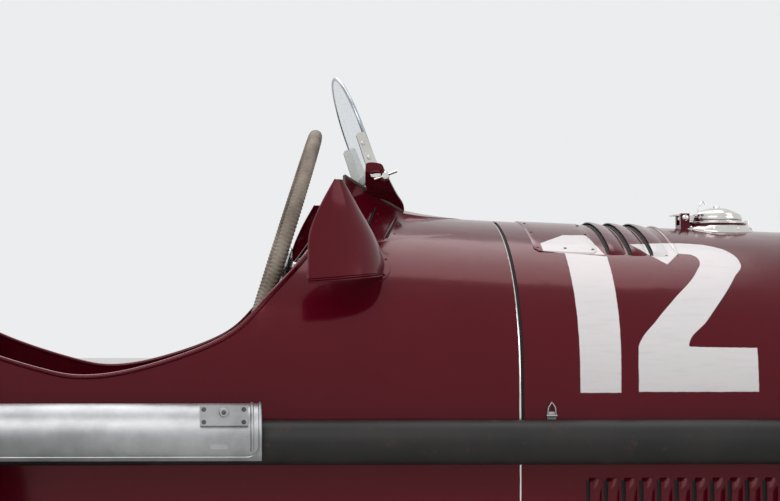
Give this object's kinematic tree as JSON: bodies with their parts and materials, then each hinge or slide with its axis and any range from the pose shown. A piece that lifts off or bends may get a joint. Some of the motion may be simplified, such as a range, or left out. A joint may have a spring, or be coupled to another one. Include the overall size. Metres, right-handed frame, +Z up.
{
  "type": "open wheel racing car",
  "caption": "Single seat racing car of the thirties with open wire wheels, long bonnet, aero screen, side exhaust and a pointed tail.",
  "frame": {"origin": "middle of the bounding box on the floor, midway along the car", "axes": "+X forwards to the nose, +Y to the car's left, +Z up"},
  "size_m": [3.9, 1.628, 1.0858],
  "materials": {
    "body_paint": "gloss",
    "frame_paint": "satin",
    "spring_steel": "satin",
    "bare_aluminium": "satin",
    "bright_metal": "polished",
    "black_pipe": "matte",
    "drum_aluminium": "satin",
    "wheel_silver": "satin",
    "tyre_rubber": "matte",
    "seat_leather": "satin",
    "rim_wrap": "matte",
    "screen_glass": "gloss"
  },
  "bodies": {
    "car": {"chassis_frame": "frame_paint", "front_axle_beam": "frame_paint", "front_springs": "spring_steel", "rear_springs": "spring_steel", "rear_axle": "frame_paint", "front_dampers": "spring_steel", "rear_dampers": "spring_steel", "steering_box": "frame_paint", "cockpit_tub": "body_paint", "tail_panel": "body_paint", "scuttle_hood": "body_paint", "side_panel_left": "body_paint", "side_panel_right": "body_paint", "nose_cowl": "body_paint", "radiator_grille": "bright_metal", "bulkhead": "bare_aluminium", "seat_bulkhead": "bare_aluminium", "undertray": "bare_aluminium", "exhaust_pipe": "black_pipe", "exhaust_guard": "bare_aluminium", "engine_block": "bare_aluminium", "steering_column": "frame_paint", "dashboard": "bare_aluminium", "seat_shell": "bare_aluminium", "seat_cushions": "seat_leather", "driver_controls": "frame_paint", "aero_screen": "screen_glass", "screen_clamps": "bright_metal", "screen_fairing": "body_paint", "wind_deflectors": "body_paint", "tail_filler": "body_paint"},
    "bonnet": {"bonnet": "body_paint", "bonnet_filler": "body_paint"},
    "bonnet_cap": {"bonnet_cap": "bright_metal"},
    "tail_cap": {"tail_cap": "bright_metal"},
    "steering_wheel": {"steering_wheel": "rim_wrap"},
    "knuckle_left": {"knuckle_left": "spring_steel"},
    "knuckle_right": {"knuckle_right": "spring_steel"},
    "track_rod": {"track_rod": "spring_steel"},
    "pitman_arm": {"pitman_arm": "spring_steel"},
    "wheel_front_left": {"wheel_front_left": "wheel_silver", "tyre_front_left": "tyre_rubber", "drum_front_left": "drum_aluminium"},
    "wheel_front_right": {"wheel_front_right": "wheel_silver", "tyre_front_right": "tyre_rubber", "drum_front_right": "drum_aluminium"},
    "wheel_rear_left": {"wheel_rear_left": "wheel_silver", "tyre_rear_left": "tyre_rubber", "drum_rear_left": "drum_aluminium"},
    "wheel_rear_right": {"wheel_rear_right": "wheel_silver", "tyre_rear_right": "tyre_rubber", "drum_rear_right": "drum_aluminium"}
  },
  "joints": [
    {"name": "steering_turn", "type": "hinge", "parent": "car", "child": "steering_wheel", "pos_m": [-0.277, 0, 0.794], "axis": [-0.9537, 0, 0.3007], "range_deg": [-280, 280]},
    {"name": "kingpin_left", "type": "hinge", "parent": "car", "child": "knuckle_left", "pos_m": [1.58, 0.575, 0.37], "axis": [0, 0, 1], "range_deg": [-28, 28]},
    {"name": "kingpin_right", "type": "hinge", "parent": "car", "child": "knuckle_right", "pos_m": [1.58, -0.575, 0.37], "axis": [0, 0, 1], "range_deg": [-28, 28]},
    {"name": "pitman_swing", "type": "hinge", "parent": "car", "child": "pitman_arm", "pos_m": [1.52, 0.1, 0.33], "axis": [0, 0, 1], "range_deg": [-28, 28]},
    {"name": "track_rod_pin", "type": "hinge", "parent": "knuckle_left", "child": "track_rod", "pos_m": [1.43, 0.575, 0.3], "axis": [0, 0, 1], "range_deg": [-28, 28]},
    {"name": "bonnet_lift", "type": "slide", "parent": "car", "child": "bonnet", "axis": [0, 0, 1], "range_m": [0, 0.4]},
    {"name": "bonnet_cap_hinge", "type": "hinge", "parent": "bonnet", "child": "bonnet_cap", "pos_m": [0.367, 0, 0.865], "axis": [0, -1, 0], "range_deg": [0, 100]},
    {"name": "tail_cap_hinge", "type": "hinge", "parent": "car", "child": "tail_cap", "pos_m": [-1.234, 0, 0.887], "axis": [0, -1, 0], "range_deg": [0, 100]},
    {"name": "roll_front_left", "type": "hinge", "parent": "knuckle_left", "child": "wheel_front_left", "pos_m": [1.58, 0.7, 0.37], "axis": [0, 1, 0], "continuous": true},
    {"name": "roll_front_right", "type": "hinge", "parent": "knuckle_right", "child": "wheel_front_right", "pos_m": [1.58, -0.7, 0.37], "axis": [0, 1, 0], "continuous": true},
    {"name": "roll_rear_left", "type": "hinge", "parent": "car", "child": "wheel_rear_left", "pos_m": [-1.07, 0.675, 0.395], "axis": [0, 1, 0], "continuous": true},
    {"name": "roll_rear_right", "type": "hinge", "parent": "car", "child": "wheel_rear_right", "pos_m": [-1.07, -0.675, 0.395], "axis": [0, 1, 0], "continuous": true}
  ],
  "couplings": [
    {"joint": "kingpin_left", "follows": "steering_turn", "ratio": 0.1},
    {"joint": "kingpin_right", "follows": "steering_turn", "ratio": 0.1},
    {"joint": "pitman_swing", "follows": "steering_turn", "ratio": 0.1},
    {"joint": "track_rod_pin", "follows": "steering_turn", "ratio": -0.1}
  ]
}
